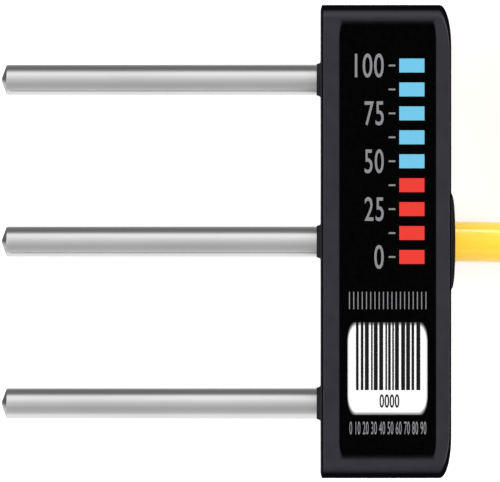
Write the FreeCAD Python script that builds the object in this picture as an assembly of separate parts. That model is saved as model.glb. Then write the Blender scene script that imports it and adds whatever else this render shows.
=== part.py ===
import FreeCAD, Part
import math
import os

os.makedirs("parts", exist_ok=True)

# A three-rod soil moisture probe lying on its back.  Millimetres.
# X runs along the rods (tips at -X, cable at +X), Y across the head, Z out of the label.
# The origin is the centre of the head's back face.

# ---- driving dimensions ------------------------------------------------------------------
# Lengths along the rods.
head_length = 14.6
rod_reach = 36.1          # from the head's face to the rod's point
rod_root = 7.45           # how far a rod goes into the head
tip_length = 0.56         # the pointed end
collar_length = 0.5       # moulded collar round each rod's root
boss_rise = 0.58          # height of the cable grommet's round boss
corner_x = 1.32           # rounded corners on the cable side, along X

# Lengths across the head.
head_width = 53.2
head_thick = 19.0
corner_y = 4.6            # the same corners, along Y
rod_radius = 1.75
rod_root_radius = 1.5     # thinner root, so that a step sets how far the rod goes in
rod_spacing = 18.3
rod_height = 9.5          # rods and cable lie at half the head's thickness
boss_radius = 5.5
cable_radius = 2.3

# Edges of the moulding.
front_round_y = 1.4
front_round_x = 0.25
back_round_y = 0.8
back_round_x = 0.25

# Walls.
rod_wall = 2.6
wall = 2.2
front_wall = 2.4
cover_thick = 2.2
cover_lip = 1.1           # what is left of the wall round the cover

# Clearance between round pieces that touch.
gap = 0.02

# Printed overlay and serial label: centre, half size and corner, along X and Y.
overlay_centre = (0.13, 0.22)
overlay_half = (5.43, 24.43)
overlay_corner = (0.5, 1.9)
overlay_thick = 0.35
overlay_proud = 0.05
serial_centre = (0.11, -14.26)
serial_half = (4.5, 5.2)
serial_corner = (0.62, 2.25)
serial_thick = 0.1

# Circuit board.
board_low = 5.5
board_thick = 1.2
board_edge = 0.45         # gap from the board to the cavity's walls

# Cable: the free stretch, then a tied coil of turns that lie in each other's grooves.
coil_centre = (72.4, 22.4)
coil_mean_radius = 33.8
coil_columns = 5
coil_rows = 5
cable_pitch = 2 * cable_radius
row_pitch = cable_pitch * math.sin(math.radians(60))
cable_heading = -30.0     # direction in which the cable reaches the coil, degrees from +X
floor_gap = 0.05

# ---- worked out from them ----------------------------------------------------------------
rod_face = -head_length / 2
cable_face = head_length / 2
half_width = head_width / 2
cavity_x = (rod_face + rod_wall, cable_face - wall)
cavity_y = half_width - wall
cavity_top = head_thick - front_wall
board_top = board_low + board_thick
rod_end = rod_face + rod_root
rod_names = {"upper": rod_spacing, "middle": 0.0, "lower": -rod_spacing}
cable_start = cable_face + boss_rise * math.sqrt(1 - (cable_radius / boss_radius) ** 2)
stub_end = 3.2


# ---- small makers ------------------------------------------------------------------------
def vec(x, y, z=0.0):
    return FreeCAD.Vector(x, y, z)


def block(x, y, z):
    """A box from three (low, high) pairs."""
    return Part.makeBox(x[1] - x[0], y[1] - y[0], z[1] - z[0], vec(x[0], y[0], z[0]))


def along_x(radius, x, y=0.0, z=rod_height):
    """A cylinder along X between x[0] and x[1]."""
    return Part.makeCylinder(radius, x[1] - x[0], vec(x[0], y, z), vec(1, 0, 0))


def cone_x(radii, start, length, y):
    """A cone along X from start, with its first and last radius."""
    return Part.makeCone(radii[0], radii[1], length, vec(start, y, rod_height), vec(1, 0, 0))


def along_z(radius, z, x, y):
    """A cylinder along Z between z[0] and z[1]."""
    return Part.makeCylinder(radius, z[1] - z[0], vec(x, y, z[0]))


def quarter(centre, half_x, half_y, start):
    """A quarter of an upright or flat ellipse, from the angle start, counter-clockwise."""
    if half_x >= half_y:
        ellipse = Part.Ellipse(centre, half_x, half_y)
        first = start
    else:
        ellipse = Part.Ellipse(centre + vec(0, half_y), centre - vec(half_x, 0), centre)
        first = start - 90
    arc = Part.ArcOfEllipse(ellipse, math.radians(first), math.radians(first + 90))
    return arc.toShape()


def rounded_plate(centre, half, corner, z):
    """A plate with elliptical corners, between z[0] and z[1]."""
    flat_x = half[0] - corner[0]
    flat_y = half[1] - corner[1]
    corners = [(1, 1, 0), (-1, 1, 90), (-1, -1, 180), (1, -1, 270)]
    arcs = []
    for sign_x, sign_y, start in corners:
        middle = vec(centre[0] + sign_x * flat_x, centre[1] + sign_y * flat_y, z[0])
        arcs.append(quarter(middle, corner[0], corner[1], start))
    edges = []
    for index, arc in enumerate(arcs):
        edges.append(arc)
        following = arcs[(index + 1) % len(arcs)]
        edges.append(Part.makeLine(arc.lastVertex().Point, following.firstVertex().Point))
    wire = Part.Wire(Part.__sortEdges__(edges))
    return Part.Face(wire).extrude(vec(0, 0, z[1] - z[0]))


def fused(shapes):
    """One solid from several that overlap or touch."""
    whole = shapes[0]
    for shape in shapes[1:]:
        whole = whole.fuse(shape)
    return whole.removeSplitter()


def route_wire(points):
    """Straight runs joined by tangent arcs, each as large as its two runs allow."""
    places = [vec(*point) for point in points]
    edges = []
    radii = []
    here = places[0]
    for before, corner, after in zip(places, places[1:], places[2:]):
        back = before - corner
        ahead = after - corner
        half_turn = (math.pi - back.getAngle(ahead)) / 2
        reach = 0.45 * min(back.Length, ahead.Length)
        radius = reach / math.tan(half_turn)
        radii.append(round(radius, 1))
        back.normalize()
        ahead.normalize()
        start = corner + back * reach
        end = corner + ahead * reach
        inward = (back + ahead).normalize()
        middle = corner + inward * (radius / math.cos(half_turn) - radius)
        edges.append(Part.LineSegment(here, start).toShape())
        edges.append(Part.Arc(start, middle, end).toShape())
        here = end
    edges.append(Part.LineSegment(here, places[-1]).toShape())
    return Part.Wire(edges), radii


def tube(points, radius):
    """A round tube along a route, with its length and its arcs' radii."""
    path, radii = route_wire(points)
    towards = vec(*points[1]) - vec(*points[0])
    profile = Part.Wire(Part.makeCircle(radius, vec(*points[0]), towards))
    return path.makePipeShell([profile], True, False), path.Length, radii


# ---- head --------------------------------------------------------------------------------
def corner_cutter():
    """What is cut away outside one elliptical corner on the cable side."""
    margin = 2.0
    inner_x = cable_face - corner_x
    inner_y = half_width - corner_y
    arc = quarter(vec(inner_x, inner_y, -margin), corner_x, corner_y, 0)
    points = [
        arc.lastVertex().Point,
        vec(inner_x, half_width + margin, -margin),
        vec(cable_face + margin, half_width + margin, -margin),
        vec(cable_face + margin, inner_y, -margin),
        arc.firstVertex().Point,
    ]
    edges = [arc] + [Part.makeLine(a, b) for a, b in zip(points, points[1:])]
    face = Part.Face(Part.Wire(Part.__sortEdges__(edges)))
    return face.extrude(vec(0, 0, head_thick + 2 * margin))


def round_long_edges(solid, direction, front_radius, back_radius):
    """Round a block's front and back edges that run along one direction."""
    for height, radius in ((head_thick, front_radius), (0.0, back_radius)):
        edges = []
        for edge in solid.Edges:
            ends = [vertex.Point for vertex in edge.Vertexes]
            level = all(abs(end.z - height) < 1e-6 for end in ends)
            run = (ends[-1] - ends[0]).normalize()
            if level and abs(run.dot(direction)) > 0.999:
                edges.append(edge)
        solid = solid.makeFillet(radius, edges)
    return solid


def head_body():
    """The head's outside: square on the rod side, rounded on the cable side."""
    margin = 5.0
    across = block(
        (rod_face - margin, cable_face + margin), (-half_width, half_width), (0, head_thick)
    )
    along = block(
        (rod_face, cable_face), (-half_width - margin, half_width + margin), (0, head_thick)
    )
    across = round_long_edges(across, vec(1, 0, 0), front_round_y, back_round_y)
    along = round_long_edges(along, vec(0, 1, 0), front_round_x, back_round_x)
    cutter = corner_cutter()
    body = across.common(along).cut(cutter)
    return body.cut(cutter.mirror(vec(0, 0, 0), vec(0, 1, 0)))


def cavity():
    return block(cavity_x, (-cavity_y, cavity_y), (cover_thick, cavity_top))


def cover_plate():
    x = (rod_face + cover_lip, cable_face - cover_lip)
    y = (-half_width + cover_lip, half_width - cover_lip)
    return block(x, y, (0, cover_thick))


seal_section = 0.6
seal_seat_radius = rod_root_radius + 2 * seal_section + 0.1
seal_seat_depth = 1.3
collar_radius = rod_radius + 0.03
collar_foot = 1.88        # the collar is tapered, for the mould
fillet_radius = 2.6       # foot of the collar
fillet_rise = 0.16
grommet_hole = 4.2
grommet_flange = 5.4
grommet_flange_thick = 0.8


def front_shell():
    shell = head_body()
    for y in rod_names.values():
        collar = cone_x((collar_radius, collar_foot), rod_face - collar_length, collar_length, y)
        foot = cone_x((collar_foot, fillet_radius), rod_face - fillet_rise, fillet_rise, y)
        shell = shell.fuse(collar).fuse(foot)
    shell = shell.cut(cavity()).cut(cover_plate())
    for y in rod_names.values():
        bore_x = (rod_face - collar_length - 1, cavity_x[0] + 1)
        shell = shell.cut(along_x(rod_root_radius + gap, bore_x, y))
        seat_x = (cavity_x[0] - seal_seat_depth, cavity_x[0] + 1)
        shell = shell.cut(along_x(seal_seat_radius, seat_x, y))
    shell = shell.cut(along_x(grommet_hole + gap, (cavity_x[1] - 1, cable_face + 1)))
    recess_low = head_thick + overlay_proud - overlay_thick
    recess = rounded_plate(
        overlay_centre, overlay_half, overlay_corner, (recess_low, head_thick + 1)
    )
    return shell.cut(recess)


post_places = [(x, y) for x in (-2.9, 3.3) for y in (-22.3, 22.3)]
post_radius = 1.1
peg_radius = 0.6


def back_cover():
    pieces = [cover_plate()]
    for x, y in post_places:
        pieces.append(along_z(post_radius, (cover_thick - 0.5, board_low), x, y))
        pieces.append(along_z(peg_radius, (board_low - 0.5, board_top + 0.5), x, y))
    return fused(pieces)


def label_overlay():
    low = head_thick + overlay_proud - overlay_thick
    return rounded_plate(
        overlay_centre, overlay_half, overlay_corner, (low, low + overlay_thick)
    )


def serial_label():
    low = head_thick + overlay_proud
    return rounded_plate(serial_centre, serial_half, serial_corner, (low, low + serial_thick))


# ---- rods --------------------------------------------------------------------------------
tip_flat = 0.3
groove_depth = 0.35
groove_x = (-4.0, -3.4)


def rod(y):
    """A pointed rod with a thinner root, and a groove that keys it in the resin."""
    point = rod_face - rod_reach
    step = rod_face - collar_length
    tip = cone_x((tip_flat, rod_radius), point, tip_length, y)
    shaft = along_x(rod_radius, (point + tip_length, step), y)
    root = along_x(rod_root_radius, (step, rod_end), y)
    ring = along_x(rod_radius, groove_x, y)
    core_x = (groove_x[0] - 1, groove_x[1] + 1)
    ring = ring.cut(along_x(rod_root_radius - groove_depth, core_x, y))
    return fused([tip, shaft, root]).cut(ring)


def rod_seal(y):
    middle = cavity_x[0] - seal_seat_depth / 2
    return Part.makeTorus(
        rod_root_radius + gap + seal_section, seal_section, vec(middle, y, rod_height), vec(1, 0, 0)
    )


clip_x = (-3.1, -0.3)
clip_half = 2.6
clip_top = 12.2
screw_radius = 0.8
screw_rise = 0.3
screw_slot_width = 0.3
screw_slot_depth = 0.4


def rod_clip(y):
    """A brass block that grips the rod and is soldered to the board."""
    clip = block(clip_x, (y - clip_half, y + clip_half), (board_top, clip_top))
    clip = clip.cut(along_x(rod_root_radius + gap, (clip_x[0] - 1, clip_x[1] + 1), y))
    middle = sum(clip_x) / 2
    return clip.cut(along_z(screw_radius + gap, (rod_height, clip_top + 1), middle, y))


def clip_screw(y):
    """A slotted set screw, bearing on the rod."""
    middle = sum(clip_x) / 2
    low = rod_height + rod_root_radius + gap
    high = clip_top + screw_rise
    screw = along_z(screw_radius, (low, high), middle, y)
    slot_y = (y - screw_slot_width / 2, y + screw_slot_width / 2)
    slot = block((middle - 1, middle + 1), slot_y, (high - screw_slot_depth, high + 1))
    return screw.cut(slot)


# ---- circuit board and what is on it -----------------------------------------------------
notch_half = 6.0          # the board's notch for the cable


def circuit_board():
    """The board, notched where the cable comes in."""
    x = (cavity_x[0] + board_edge, cavity_x[1] - board_edge)
    y = (-cavity_y + board_edge, cavity_y - board_edge)
    board = block(x, y, (board_low, board_top))
    notch_z = (board_low - 1, board_top + 1)
    board = board.cut(block((stub_end, x[1] + 1), (-notch_half, notch_half), notch_z))
    for place in post_places:
        board = board.cut(along_z(peg_radius + gap, notch_z, *place))
    return board


# Parts on the board: centres in X and Y, and sizes in X, Y and Z.
shield_centre = (-1.0, 8.6)
shield_size = (5.2, 8.4, 2.4)
shield_wall = 0.25
sampler_size = (3.0, 4.0, 0.9)
controller_centre = (-0.6, -8.2)
controller_size = (3.6, 5.6, 1.0)
leg_size = (5.0, 0.35, 0.3)
leg_count = 6
leg_pitch = 0.85
dot_radius = 0.25         # marks the controller's first leg
dot_depth = 0.1
dot_inset = 0.5
crystal_centre = (-0.8, -13.4)
crystal_size = (3.2, 1.8, 0.8)
crystal_round = 0.6
regulator_centre = (-1.0, 14.3)
regulator_size = (2.9, 1.4, 1.1)
regulator_tab = (1.6, 2.2, 0.4)
edge_column = 3.3         # X of the small parts along the board's edge
diode_size = (1.5, 1.1, 0.9)
diode_y = (4.6, 6.8, 9.0)
capacitor_size = (1.5, 0.8, 0.8)
capacitor_y = (-5.0, -6.9, -8.8, -10.7)
resistor_size = (1.2, 0.6, 0.4)
resistor_y = (-12.8, -14.4, 11.4, 13.0, 14.6)
bead_centre = (-0.3, 22.0)
bead_radius = 0.9
bead_rise = 2.6
lead_radius = 0.15
lead_offset = 0.45


def on_board(centre, size):
    """A block standing on the board: its centre in X and Y, and its three sizes."""
    x = (centre[0] - size[0] / 2, centre[0] + size[0] / 2)
    y = (centre[1] - size[1] / 2, centre[1] + size[1] / 2)
    return block(x, y, (board_top, board_top + size[2]))


def edge_parts(size, places):
    """A row of alike small parts along the board's edge."""
    return Part.Compound([on_board((edge_column, y), size) for y in places])


def shield_can():
    inside = [size - 2 * shield_wall for size in shield_size[:2]]
    inside.append(shield_size[2] - shield_wall)
    return on_board(shield_centre, shield_size).cut(on_board(shield_centre, inside))


def microcontroller():
    """A flat chip with short legs on its two long sides and a dot by the first."""
    x, y = controller_centre
    body = on_board(controller_centre, controller_size)
    top = board_top + controller_size[2]
    dot_x = x - controller_size[0] / 2 + dot_inset
    dot_y = y + controller_size[1] / 2 - dot_inset
    body = body.cut(along_z(dot_radius, (top - dot_depth, top + 1), dot_x, dot_y))
    legs = []
    for number in range(leg_count):
        leg_y = y + (number - (leg_count - 1) / 2) * leg_pitch
        legs.append(on_board((x, leg_y), leg_size))
    return fused([body] + legs)


def crystal():
    can = on_board(crystal_centre, crystal_size)
    upright = [edge for edge in can.Edges if edge.BoundBox.ZLength > crystal_size[2] / 2]
    return can.makeFillet(crystal_round, upright)


def voltage_regulator():
    body = on_board(regulator_centre, regulator_size)
    return fused([body, on_board(regulator_centre, regulator_tab)])


def thermistor():
    """A bead on two thin leads, in the resin beside the upper rod."""
    x, y = bead_centre
    height = board_top + bead_rise
    pieces = [Part.makeSphere(bead_radius, vec(x, y, height))]
    for side in (-lead_offset, lead_offset):
        pieces.append(along_z(lead_radius, (board_top, height), x + side, y))
    return fused(pieces)


wire_places = {"red": 1.35, "white": 0.0, "blue": -1.35}
pin_x = 1.5
pin_size = (1.0, 1.0, 0.7)
inner_wire_radius = 0.5
wire_bend = 1.2


def wire_pins():
    return Part.Compound([on_board((pin_x, y), pin_size) for y in wire_places.values()])


def inner_wire(y):
    """A short wire that leaves the cable's end and turns down to its pin."""
    level = rod_height
    start = vec(stub_end, y, level)
    bend_start = vec(pin_x + wire_bend, y, level)
    bend_end = vec(pin_x, y, level - wire_bend)
    share = wire_bend * (1 - math.sqrt(0.5))
    bend_middle = vec(pin_x + share, y, level - share)
    edges = [
        Part.LineSegment(start, bend_start).toShape(),
        Part.Arc(bend_start, bend_middle, bend_end).toShape(),
        Part.LineSegment(bend_end, vec(pin_x, y, board_top + pin_size[2])).toShape(),
    ]
    profile = Part.Wire(Part.makeCircle(inner_wire_radius, start, vec(-1, 0, 0)))
    return Part.Wire(edges).makePipeShell([profile], True, False)


# ---- cable entry -------------------------------------------------------------------------
def cable_grommet():
    """A captive grommet: flange inside, neck through the wall, low round boss outside."""
    bore = cable_radius + gap
    flange_x = cavity_x[1] - grommet_flange_thick
    centre = vec(cable_face, 0)
    ellipse = Part.Ellipse(centre + vec(0, boss_radius), centre - vec(boss_rise, 0), centre)
    boss = Part.ArcOfEllipse(ellipse, -math.acos(bore / boss_radius), 0).toShape()
    points = [
        boss.lastVertex().Point,
        vec(cable_face, grommet_hole),
        vec(cavity_x[1], grommet_hole),
        vec(cavity_x[1], grommet_flange),
        vec(flange_x, grommet_flange),
        vec(flange_x, bore),
        boss.firstVertex().Point,
    ]
    edges = [boss] + [Part.makeLine(a, b) for a, b in zip(points, points[1:])]
    face = Part.Face(Part.Wire(Part.__sortEdges__(edges)))
    solid = face.revolve(vec(0, 0, 0), vec(1, 0, 0), 360)
    solid.translate(vec(0, 0, rod_height))
    return solid


def cable_end():
    """The jacketed end of the cable inside the head."""
    return along_x(cable_radius, (stub_end, cable_start))


ferrule_wall = 0.8
ferrule_gap = 0.1


def cable_ferrule():
    """A crimped ring that keeps the cable from being pulled out."""
    inner_end = cavity_x[1] - grommet_flange_thick
    ring_x = (stub_end + ferrule_gap, inner_end - ferrule_gap)
    ring = along_x(cable_radius + ferrule_wall, ring_x)
    return ring.cut(along_x(cable_radius + gap, (ring_x[0] - 1, ring_x[1] + 1)))


# ---- free cable and its coil -------------------------------------------------------------
lay_height = cable_radius + floor_gap
outer_turn = coil_mean_radius + (coil_columns - 1) * cable_pitch / 2
meeting_angle = math.radians(cable_heading - 90)
meeting = (
    coil_centre[0] + outer_turn * math.cos(meeting_angle),
    coil_centre[1] + outer_turn * math.sin(meeting_angle),
)
cable_route = [
    (cable_start, 0.0, rod_height),
    (17.0, 0.0, rod_height),
    (26.2, -1.9, 7.2),
    (34.9, -5.8, 3.8),
    (43.1, -10.34, lay_height),
    (meeting[0], meeting[1], lay_height),
]

# The coil's section, and the way in for the cable at its outer edge.
spare = 0.1
section_half = coil_columns * cable_pitch / 2 + spare
coil_height = cable_pitch + (coil_rows - 1) * row_pitch + spare
section_corner = 1.6
way_in_length = 24.0
way_in_inner = 4.0
way_in_height = 3 * cable_radius

# The tail in a groove on top of the turns, its sleeve and its wires.  Angles are from +X.
tail_radius = coil_mean_radius + cable_pitch / 2
tail_height = coil_height + 1.6
tail_angles = (-60.0, -10.0)
sleeve_angles = (-22.0, -3.0)
sleeve_radius = cable_radius + 0.45
tail_wires = {"red": (-1.3, 30.0), "white": (0.0, tail_radius), "blue": (1.3, 52.0)}
tail_wire_radius = 0.6
tail_wire_length = 28.0
tip_radius = 0.4
bare_length = 7.0

# The ties round the section, with square heads on top.
tie_angles = (75.0, 195.0)
tie_width = 3.6
tie_thick = 1.0
tie_head_x = (26.0, 31.0)
tie_head_half = 2.4
tie_head_rise = 3.0
tie_head_round = 0.5


def turned(shape, angle):
    """A shape made about the coil's +X spoke, turned about the coil's axis."""
    shape = shape.copy()
    shape.rotate(vec(0, 0, 0), vec(0, 0, 1), angle)
    shape.translate(vec(*coil_centre))
    return shape


def arc_tube(path_radius, height, degrees, radius):
    """A tube bent round the origin's Z axis, starting on the +X spoke."""
    circle = Part.makeCircle(radius, vec(path_radius, 0, height), vec(0, 1, 0))
    face = Part.Face(Part.Wire(circle))
    return face.revolve(vec(0, 0, 0), vec(0, 0, 1), degrees)


def tie_block(inset, width):
    """The coil's section as a short block across the +X spoke."""
    x = (coil_mean_radius - section_half + inset, coil_mean_radius + section_half - inset)
    return block(x, (-width / 2, width / 2), (inset, coil_height - inset))


def coil_tie():
    """A nylon tie drawn tight round the turns, with its square head on top."""
    head_top = coil_height + tie_head_rise
    outer = tie_block(0.0, tie_width)
    inner = tie_block(tie_thick, tie_width + 2)
    long_edges = [edge for edge in outer.Edges if edge.BoundBox.YLength > tie_width / 2]
    outer = outer.makeFillet(section_corner, long_edges)
    head = block(tie_head_x, (-tie_head_half, tie_head_half), (coil_height, head_top))
    upper_edges = [edge for edge in head.Edges if edge.BoundBox.ZMax > head_top - 0.1]
    head = head.makeFillet(tie_head_round, upper_edges)
    return fused([outer.cut(inner), head])


def coil_ties():
    return Part.Compound([turned(coil_tie(), angle) for angle in tie_angles])


def tail_sleeve():
    start, end = sleeve_angles
    body = arc_tube(tail_radius, tail_height, end - start, sleeve_radius)
    hole = arc_tube(tail_radius, tail_height, end - start + 2, cable_radius + gap)
    hole.rotate(vec(0, 0, 0), vec(0, 0, 1), -1)
    return turned(body.cut(hole), start)


def cable_coil():
    """The outer shape of the tied turns, with the cable's tail lying on top."""
    ring = Part.makeCylinder(coil_mean_radius + section_half, coil_height)
    ring = ring.cut(Part.makeCylinder(coil_mean_radius - section_half, coil_height))
    rims = [edge for edge in ring.Edges if edge.BoundBox.ZLength < 1e-3]
    ring = ring.makeFillet(section_corner, rims)
    start, end = tail_angles
    tail = arc_tube(tail_radius, tail_height, end - start, cable_radius)
    tail.rotate(vec(0, 0, 0), vec(0, 0, 1), start)
    sleeve_start, sleeve_end = sleeve_angles
    room = arc_tube(tail_radius, tail_height, sleeve_end - sleeve_start + 2, sleeve_radius + gap)
    room.rotate(vec(0, 0, 0), vec(0, 0, 1), sleeve_start - 1)
    solid = ring.cut(room).fuse(tail)
    cutter = tie_block(-2.0, tie_width + 2 * gap).cut(tie_block(tie_thick + gap, tie_width + 2))
    for angle in tie_angles:
        cut_here = cutter.copy()
        cut_here.rotate(vec(0, 0, 0), vec(0, 0, 1), angle)
        solid = solid.cut(cut_here)
    solid = turned(solid, 0)
    way_in = block(
        (-way_in_length, 0), (-way_in_inner, cable_radius + 2 * spare), (-1, way_in_height)
    )
    way_in.rotate(vec(0, 0, 0), vec(0, 0, 1), cable_heading)
    way_in.translate(vec(*meeting))
    return solid.cut(way_in)


def tail_wire(offset, bend, start, length, radius):
    """A wire lying on the coil, bent at its own radius, from a distance along itself."""
    level = coil_height + tail_wire_radius + spare
    reach = math.degrees(length / bend)
    wire = arc_tube(bend, level, reach, radius)
    wire.rotate(vec(0, 0, 0), vec(0, 0, 1), math.degrees(start / bend))
    wire.translate(vec(tail_radius + offset - bend, 0))
    return turned(wire, tail_angles[1])


# ---- resin -------------------------------------------------------------------------------
resin_gap = 0.2           # air between the resin and the cover


def potting_compound(inner_pieces):
    resin_low = cover_thick + resin_gap
    resin = block(cavity_x, (-cavity_y, cavity_y), (resin_low, cavity_top))
    resin = resin.cut(on_board(shield_centre, shield_size))
    for piece in inner_pieces:
        resin = resin.cut(piece)
    return resin


# ---- everything --------------------------------------------------------------------------
nodes = {
    "front_shell": front_shell(),
    "back_cover": back_cover(),
    "label_overlay": label_overlay(),
    "serial_label": serial_label(),
    "circuit_board": circuit_board(),
    "shield_can": shield_can(),
    "sampler_chip": on_board(shield_centre, sampler_size),
    "microcontroller": microcontroller(),
    "crystal": crystal(),
    "voltage_regulator": voltage_regulator(),
    "surge_diodes": edge_parts(diode_size, diode_y),
    "capacitors": edge_parts(capacitor_size, capacitor_y),
    "resistors": edge_parts(resistor_size, resistor_y),
    "thermistor": thermistor(),
    "wire_pins": wire_pins(),
    "cable_grommet": cable_grommet(),
    "cable_end": cable_end(),
    "cable_ferrule": cable_ferrule(),
    "clip_screws": Part.Compound([clip_screw(y) for y in rod_names.values()]),
}
for name, y in rod_names.items():
    nodes[name + "_rod"] = rod(y)
    nodes[name + "_rod_seal"] = rod_seal(y)
    nodes[name + "_rod_clip"] = rod_clip(y)
for colour, y in wire_places.items():
    nodes["inner_" + colour + "_wire"] = inner_wire(y)

in_resin = [
    "back_cover", "circuit_board", "microcontroller", "crystal", "voltage_regulator",
    "surge_diodes", "capacitors", "resistors", "thermistor", "wire_pins", "cable_grommet",
    "cable_end", "cable_ferrule", "clip_screws",
]
for name in rod_names:
    in_resin += [name + "_rod", name + "_rod_clip"]
in_resin += ["inner_" + colour + "_wire" for colour in wire_places]
nodes["potting_compound"] = potting_compound([nodes[name] for name in in_resin])

free_cable, free_length, route_radii = tube(cable_route, cable_radius)
nodes["free_cable"] = free_cable
nodes["cable_coil"] = cable_coil()
nodes["coil_ties"] = coil_ties()
nodes["tail_sleeve"] = tail_sleeve()
bare_tips = []
for colour, (offset, bend) in tail_wires.items():
    nodes["tail_" + colour + "_wire"] = tail_wire(
        offset, bend, 0.0, tail_wire_length, tail_wire_radius
    )
    bare_tips.append(tail_wire(offset, bend, tail_wire_length, bare_length, tip_radius))
nodes["tinned_tips"] = Part.Compound(bare_tips)

for name, shape in nodes.items():
    solids = [solid for solid in shape.Solids if solid.Volume > 0]
    kept = solids[0] if len(solids) == 1 else Part.Compound(solids)
    kept.exportStep("parts/" + name + ".step")
    print(name, len(solids), "solid(s)", round(kept.Volume, 2), "mm3, valid", kept.isValid())

section = math.pi * cable_radius ** 2
print("free cable: volume", round(free_cable.Volume, 1), "section x length",
      round(section * free_length, 1), "length", round(free_length, 1), "radii", route_radii)
print("coil: outside", round(2 * (coil_mean_radius + section_half), 1), "height",
      round(coil_height, 1), "cable meets it at", [round(value, 2) for value in meeting])
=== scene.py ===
"""A three-rod soil moisture probe on a pale table, seen from straight above."""
import math
import random

import bmesh
import bpy
from mathutils import Matrix, Vector


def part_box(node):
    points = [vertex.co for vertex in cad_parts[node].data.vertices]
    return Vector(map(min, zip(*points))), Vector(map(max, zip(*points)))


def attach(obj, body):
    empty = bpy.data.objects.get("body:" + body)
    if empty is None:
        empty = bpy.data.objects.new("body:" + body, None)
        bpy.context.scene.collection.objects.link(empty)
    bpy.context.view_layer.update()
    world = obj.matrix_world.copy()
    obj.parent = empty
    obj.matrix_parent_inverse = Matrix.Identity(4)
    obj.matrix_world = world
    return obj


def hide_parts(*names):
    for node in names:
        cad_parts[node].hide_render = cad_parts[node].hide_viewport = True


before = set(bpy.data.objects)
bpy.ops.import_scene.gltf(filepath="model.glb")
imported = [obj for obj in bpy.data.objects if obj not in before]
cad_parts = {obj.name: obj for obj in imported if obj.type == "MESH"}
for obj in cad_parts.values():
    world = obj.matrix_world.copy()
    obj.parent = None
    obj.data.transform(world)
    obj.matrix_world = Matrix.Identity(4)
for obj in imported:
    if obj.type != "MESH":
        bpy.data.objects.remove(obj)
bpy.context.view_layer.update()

MM = 0.001

# ---- the design's own sizes, as in the CAD source, in metres -----------------------------
COLLAR_LENGTH = 0.5 * MM
FRONT_ROUND = (0.25 * MM, 1.4 * MM)     # edge of the front face, along X and along Y
BACK_ROUND = (0.25 * MM, 0.8 * MM)
FRONT_ROUND_DEPTH = 1.4 * MM
BACK_ROUND_DEPTH = 0.8 * MM
CABLE_CORNER = (1.32 * MM, 4.6 * MM)    # rounded corners on the cable side
ROD_CORNER = (0.08 * MM, 0.25 * MM)     # nearly sharp corners on the rod side
OVERLAY_CORNER = (0.5 * MM, 1.9 * MM)
COVER_THICK = 2.2 * MM
ROD_RADIUS = 1.75 * MM
ROD_ROOT_RADIUS = 1.5 * MM
TIP_LENGTH = 0.56 * MM
CABLE_RADIUS = 2.3 * MM
BOSS_RADIUS = 5.5 * MM
BOSS_RISE = 0.58 * MM
BOSS_FULLNESS = 2.8

COIL_CENTRE = (72.4 * MM, 22.4 * MM)
COIL_MEAN_RADIUS = 33.8 * MM
COIL_ROWS = 5
COIL_COLUMNS = 5
CABLE_PITCH = 2 * CABLE_RADIUS
ROW_PITCH = CABLE_PITCH * math.sin(math.radians(60))
COIL_START = -120.0                     # where the cable joins the coil, degrees
TIE_ANGLES = (75.0, 195.0)
TAIL_END = -10.0                        # where the jacket ends, on top of the coil
CABLE_ROUTE = [
    (7.83, 0.0, 9.5),
    (17.0, 0.0, 9.5),
    (26.2, -1.9, 7.2),
    (34.9, -5.8, 3.8),
    (43.1, -10.34, 2.35),
    (50.9, -14.84, 2.35),
]

# ---- places, from the frame --------------------------------------------------------------
shell_low, shell_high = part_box("front_shell")
overlay_low, overlay_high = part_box("label_overlay")
serial_low, serial_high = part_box("serial_label")
cover_low, cover_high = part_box("back_cover")
middle_low, middle_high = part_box("middle_rod")

ROD_FACE = shell_low[0] + COLLAR_LENGTH
CABLE_FACE = shell_high[0]
HALF_LENGTH = (CABLE_FACE - ROD_FACE) / 2
HALF_WIDTH = (shell_high[1] - shell_low[1]) / 2
THICKNESS = shell_high[2]
ROD_HEIGHT = (middle_low[2] + middle_high[2]) / 2
ROD_NAMES = ("upper_rod", "middle_rod", "lower_rod")


def rod_y(name):
    low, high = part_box(name)
    return (low[1] + high[1]) / 2


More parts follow.
